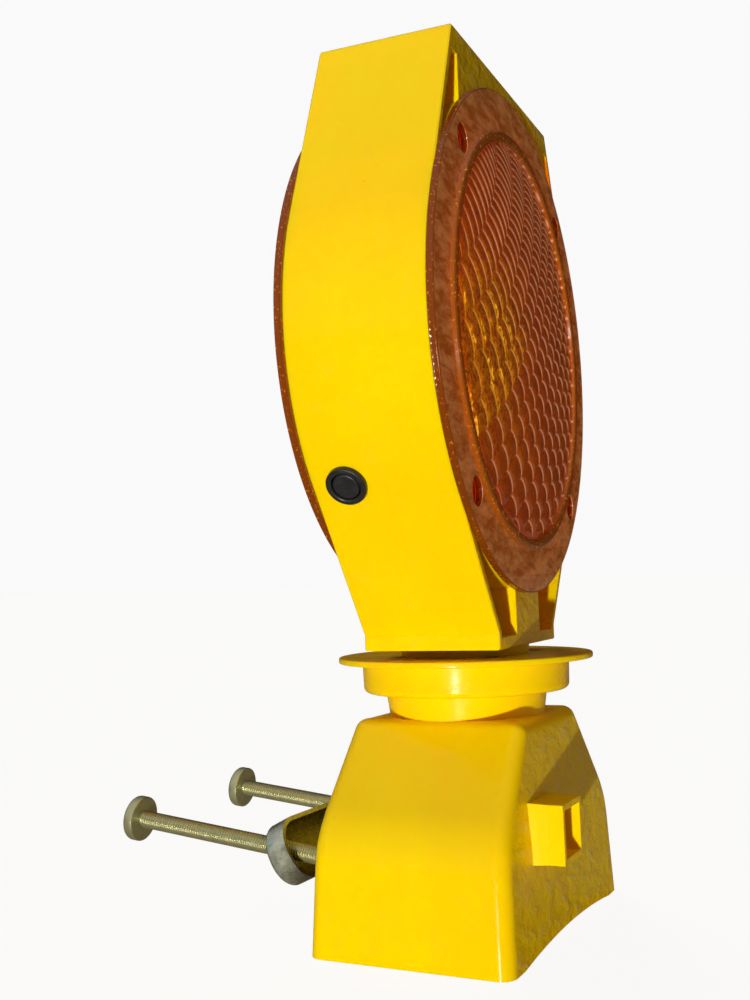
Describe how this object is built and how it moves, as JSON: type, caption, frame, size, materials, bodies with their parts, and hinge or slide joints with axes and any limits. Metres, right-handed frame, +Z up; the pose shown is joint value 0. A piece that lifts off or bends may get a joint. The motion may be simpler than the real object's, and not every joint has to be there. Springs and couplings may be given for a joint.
{
  "type": "barricade warning light",
  "caption": "Two-sided amber warning light with a swivelling yellow lamp head on a waisted battery base, and clamp bolts with a plate at the back.",
  "frame": {"origin": "centre of the base's bottom rim, on the swivel axis", "axes": "+Z up along the swivel axis; clamp bolts stand out towards +Y; front lens faces -Y and push button is on the -X side, both turned 3 degrees with the head at rest"},
  "size_m": [0.1826, 0.1664, 0.3],
  "materials": {
    "yellow_plastic": "gloss moulded safety yellow",
    "amber_lens": "clear amber moulded optics",
    "black_rubber": "matte",
    "grey_rubber": "matte foam",
    "black_plastic": "matte",
    "white_plastic": "satin",
    "zinc_steel": "clear zinc plated",
    "yellow_zinc_steel": "yellow zinc plated",
    "green_board": "solder resist",
    "electronic_parts": "moulded",
    "led_plastic": "amber epoxy",
    "battery_can": "plain printed jacket",
    "nickel": "nickel plated",
    "red_wire": "pvc"
  },
  "bodies": {
    "base": {"base_shell": "yellow_plastic", "battery_cover": "yellow_plastic", "battery_cover_screws": "zinc_steel", "battery_tray": "black_plastic", "battery_cells": "battery_can", "battery_springs": "nickel", "battery_contact_plate": "white_plastic", "battery_contact_strips": "nickel", "battery_leads": "red_wire", "swivel_flange": "yellow_plastic", "flange_screws": "zinc_steel", "mount_nuts": "zinc_steel", "swivel_pad": "yellow_plastic"},
    "head": {"swivel_spigot": "black_plastic", "swivel_washer": "zinc_steel", "swivel_nut": "zinc_steel", "head_housing": "yellow_plastic", "front_lens": "amber_lens", "rear_lens": "amber_lens", "front_lens_gasket": "grey_rubber", "rear_lens_gasket": "grey_rubber", "front_lens_screws": "zinc_steel", "rear_lens_screws": "zinc_steel", "circuit_board": "green_board", "board_parts": "electronic_parts", "board_screws": "zinc_steel", "led_lamps": "led_plastic", "lamp_leads": "red_wire", "switch_leads": "red_wire", "switch_bezel": "black_rubber", "switch_nut": "black_plastic", "switch_body": "black_plastic"},
    "switch_button": {"switch_button": "black_rubber"},
    "clamp_plate": {"clamp_plate": "zinc_steel"},
    "left_mount_bolt": {"left_mount_bolt": "yellow_zinc_steel"},
    "right_mount_bolt": {"right_mount_bolt": "yellow_zinc_steel"}
  },
  "joints": [
    {"name": "head_swivel", "type": "hinge", "parent": "base", "child": "head", "pos_m": [0, 0, 0.0915], "axis": [0, 0, 1], "range_deg": [-183, 177]},
    {"name": "button_press", "type": "slide", "parent": "head", "child": "switch_button", "axis": [0.7956, 0.0417, 0.6044], "range_m": [0, 0.0015]},
    {"name": "clamp_plate_slide", "type": "slide", "parent": "base", "child": "clamp_plate", "axis": [0, 0.9942, 0.108], "range_m": [-0.008, 0.028]},
    {"name": "left_bolt_travel", "type": "slide", "parent": "base", "child": "left_mount_bolt", "axis": [0, 0.9942, 0.108], "range_m": [-0.02, 0.006]},
    {"name": "right_bolt_travel", "type": "slide", "parent": "base", "child": "right_mount_bolt", "axis": [0, 0.9942, 0.108], "range_m": [-0.02, 0.006]}
  ]
}
